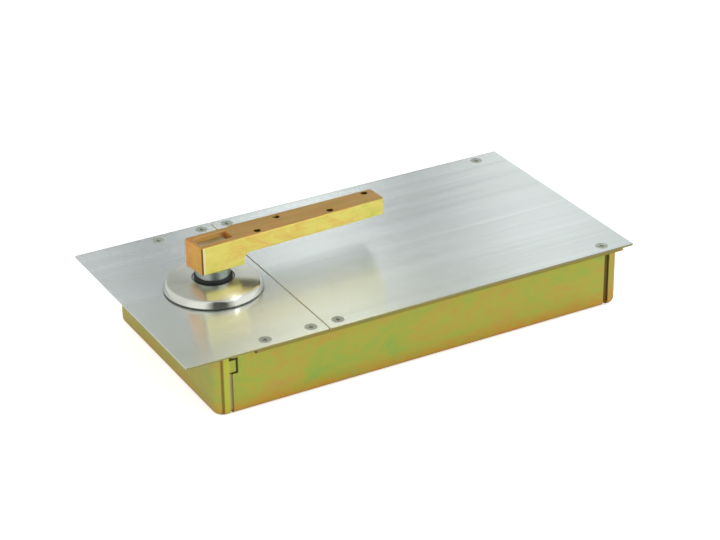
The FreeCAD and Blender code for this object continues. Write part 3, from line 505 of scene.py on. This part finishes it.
def collar_profile():
    """The collar's outline: domed crown, leaning rim, small foot, and the spigot with its groove."""
    outer = (collar_high.x - collar_low.x) / 2
    top = collar_high.z
    hole = outer - 21.9 * mm
    hole_break = 0.3 * mm
    crown = outer - 3.7 * mm
    crown_z = cover_top + 6.3 * mm
    crown_steps = 8
    dome = 0.35 * mm
    rim_centre = (outer - 4.2 * mm, cover_top + 3.3 * mm)
    rim_round = 3.2 * mm
    rim_from, rim_lean = 78, 22.0
    foot_round = 1.3 * mm
    foot_to = -84
    spigot = outer - 7.0 * mm
    spigot_in = outer - 8.8 * mm
    groove = outer - 8.0 * mm
    groove_top = cover_low.z - 0.3 * mm
    groove_low = groove_top - 1.5 * mm
    foot = collar_low.z
    wall = 2.0 * mm
    points = [(hole, top - wall), (hole, top - hole_break), (hole + hole_break, top)]
    for i in range(1, crown_steps + 1):
        t = i / crown_steps
        radius = hole + (crown - hole) * t
        sag = dome * 4 * t * (1 - t)
        points.append((radius, top + (crown_z - top) * t + sag))
    points += arc(rim_centre, rim_round, rim_from, rim_lean, 8)
    foot_centre = (outer - foot_round, cover_top + foot_round)
    points += arc(foot_centre, foot_round, rim_lean, foot_to, 6)
    points += [(outer - foot_round, cover_top), (spigot, cover_top), (spigot, groove_top),
               (groove, groove_top), (groove, groove_low), (spigot, groove_low),
               (spigot, foot), (spigot_in, foot), (spigot_in, crown_z - wall)]
    return points


def seal_profile():
    """The ring's outline, a little smaller and lower than the solid, as it reads in the photo."""
    full = (seal_high.x - seal_low.x) / 2
    outer = full - 0.7 * mm
    inner = full - 2.16 * mm
    low = seal_low.z
    top = seal_high.z - 1.2 * mm
    round_off = 0.7 * mm
    outer_break = 0.3 * mm
    inner_break = 0.2 * mm
    points = [(inner, low), (outer - outer_break, low), (outer, low + outer_break)]
    points += arc((outer - round_off, top - round_off), round_off, 0, 90, 6)
    return points + [(inner + inner_break, top), (inner, top - inner_break)]


for name, node in nodes.items():
    paint(node, node_slot[name])
    smooth_by_angle(node.data)

softened("door_arm", 0.5 * mm, "spindle_group")
lathed("spindle_collar", collar_profile(), "case")
lathed("seal_ring", seal_profile(), "spindle_group")


def camera():
    """The camera that was solved on the photograph, without any shift."""
    data = bpy.data.cameras.new("camera")
    data.sensor_width = 36.0
    data.lens = focal_px * data.sensor_width / image_width
    data.clip_end = 50.0
    obj = bpy.data.objects.new("camera", data)
    right = Vector((math.cos(camera_yaw), -math.sin(camera_yaw), 0))
    ahead = Vector((math.sin(camera_yaw) * math.cos(camera_pitch),
                    math.cos(camera_yaw) * math.cos(camera_pitch), -math.sin(camera_pitch)))
    above = right.cross(ahead)
    rolled = right * math.cos(camera_roll) + above * math.sin(camera_roll)
    above = rolled.cross(ahead)
    turn = Matrix((rolled, above, -ahead)).transposed()
    obj.matrix_world = Matrix.Translation(camera_place) @ turn.to_4x4()
    bpy.context.scene.collection.objects.link(obj)
    bpy.context.scene.camera = obj


def floor():
    """A pale floor that shows white to the camera and keeps a soft shadow."""
    mesh = bpy.data.meshes.new("floor")
    half = 6.0
    corners = [(-half, -half, 0), (half, -half, 0), (half, half, 0), (-half, half, 0)]
    mesh.from_pydata(corners, [], [(0, 1, 2, 3)])
    obj = bpy.data.objects.new("floor", mesh)
    bpy.context.scene.collection.objects.link(obj)
    n = Nodes("pale_floor")
    n.shader.inputs["Base Color"].default_value = (0.8, 0.8, 0.8, 1)
    n.shader.inputs["Roughness"].default_value = 0.9
    path = n.add("ShaderNodeLightPath")
    glow = n.add("ShaderNodeEmission")
    glow.inputs["Color"].default_value = white
    n.link(n.times(path.outputs["Is Camera Ray"], floor_glow), glow.inputs["Strength"])
    both = n.add("ShaderNodeAddShader")
    n.link(n.shader.outputs["BSDF"], both.inputs[0])
    n.link(glow.outputs["Emission"], both.inputs[1])
    n.link(both.outputs[0], n.output.inputs["Surface"])
    mesh.materials.append(n.material)


def world():
    """A soft studio: upright bands of light at the back, a bright band overhead, and a front wall
    with a dark doorway. The camera itself sees plain white."""
    studio = bpy.data.worlds.new("studio")
    bpy.context.scene.world = studio
    n = Tree(studio)
    x, y, z = n.parts_of("Generated")
    x_low, x_high = back_bands[0][0], back_bands[-1][0]
    reach = x_high - x_low
    stops = [((place - x_low) / reach, level / brightest) for place, level in back_bands]
    back = n.times(n.ramp(n.span(x, x_low, x_high, 0, 1), stops), brightest)
    turn = math.radians(doorway_azimuth)
    cosine, sine = math.cos(turn), math.sin(turn)
    toward = n.math("ADD", n.times(x, cosine), n.times(y, sine))
    aside = n.math("SUBTRACT", n.times(y, cosine), n.times(x, sine))
    angle = n.math("ARCTAN2", n.math("ABSOLUTE", aside), toward)
    edge = math.radians(doorway_half)
    doorway = n.span(angle, edge, edge + math.radians(doorway_soft), doorway_light, 1.0)
    front = n.times(doorway, front_wall)
    facing = n.span(y, front_from, front_to, 0, 1)
    away = n.math("SUBTRACT", 1.0, facing)
    strength = n.math("ADD", n.times(back, away), n.times(front, facing))
    overhead = n.times(n.band(x, overhead_x, overhead_half, overhead_soft),
                       n.span(z, overhead_low, overhead_high, 0, 1))
    strength = n.math("ADD", strength, n.times(overhead, overhead_light))
    seen = n.add("ShaderNodeBackground")
    seen.inputs["Color"].default_value = white
    lit = n.add("ShaderNodeBackground")
    lit.inputs["Color"].default_value = studio_tint
    n.link(strength, lit.inputs["Strength"])
    path = n.add("ShaderNodeLightPath")
    choose = n.add("ShaderNodeMixShader")
    n.link(path.outputs["Is Camera Ray"], choose.inputs[0])
    n.link(lit.outputs[0], choose.inputs[1])
    n.link(seen.outputs[0], choose.inputs[2])
    output = n.add("ShaderNodeOutputWorld")
    n.link(choose.outputs[0], output.inputs["Surface"])


def lamp(name, place, target, size, power):
    """A soft rectangular lamp that no glossy surface mirrors."""
    data = bpy.data.lights.new(name, "AREA")
    data.shape = "RECTANGLE"
    data.size, data.size_y = size
    data.energy = power
    obj = bpy.data.objects.new(name, data)
    obj.location = place
    obj.rotation_euler = (Vector(target) - Vector(place)).to_track_quat("-Z", "Y").to_euler()
    obj.visible_glossy = False
    bpy.context.scene.collection.objects.link(obj)


camera()
floor()
world()
lamp("key", (-1.4, -0.6, 0.9), (0, 0, 0.05), (1.2, 0.9), 7.0)
lamp("front", (0.5, -1.6, 0.6), (0, 0, 0.02), (1.4, 0.6), 8.0)
bpy.context.scene.view_settings.view_transform = "Standard"
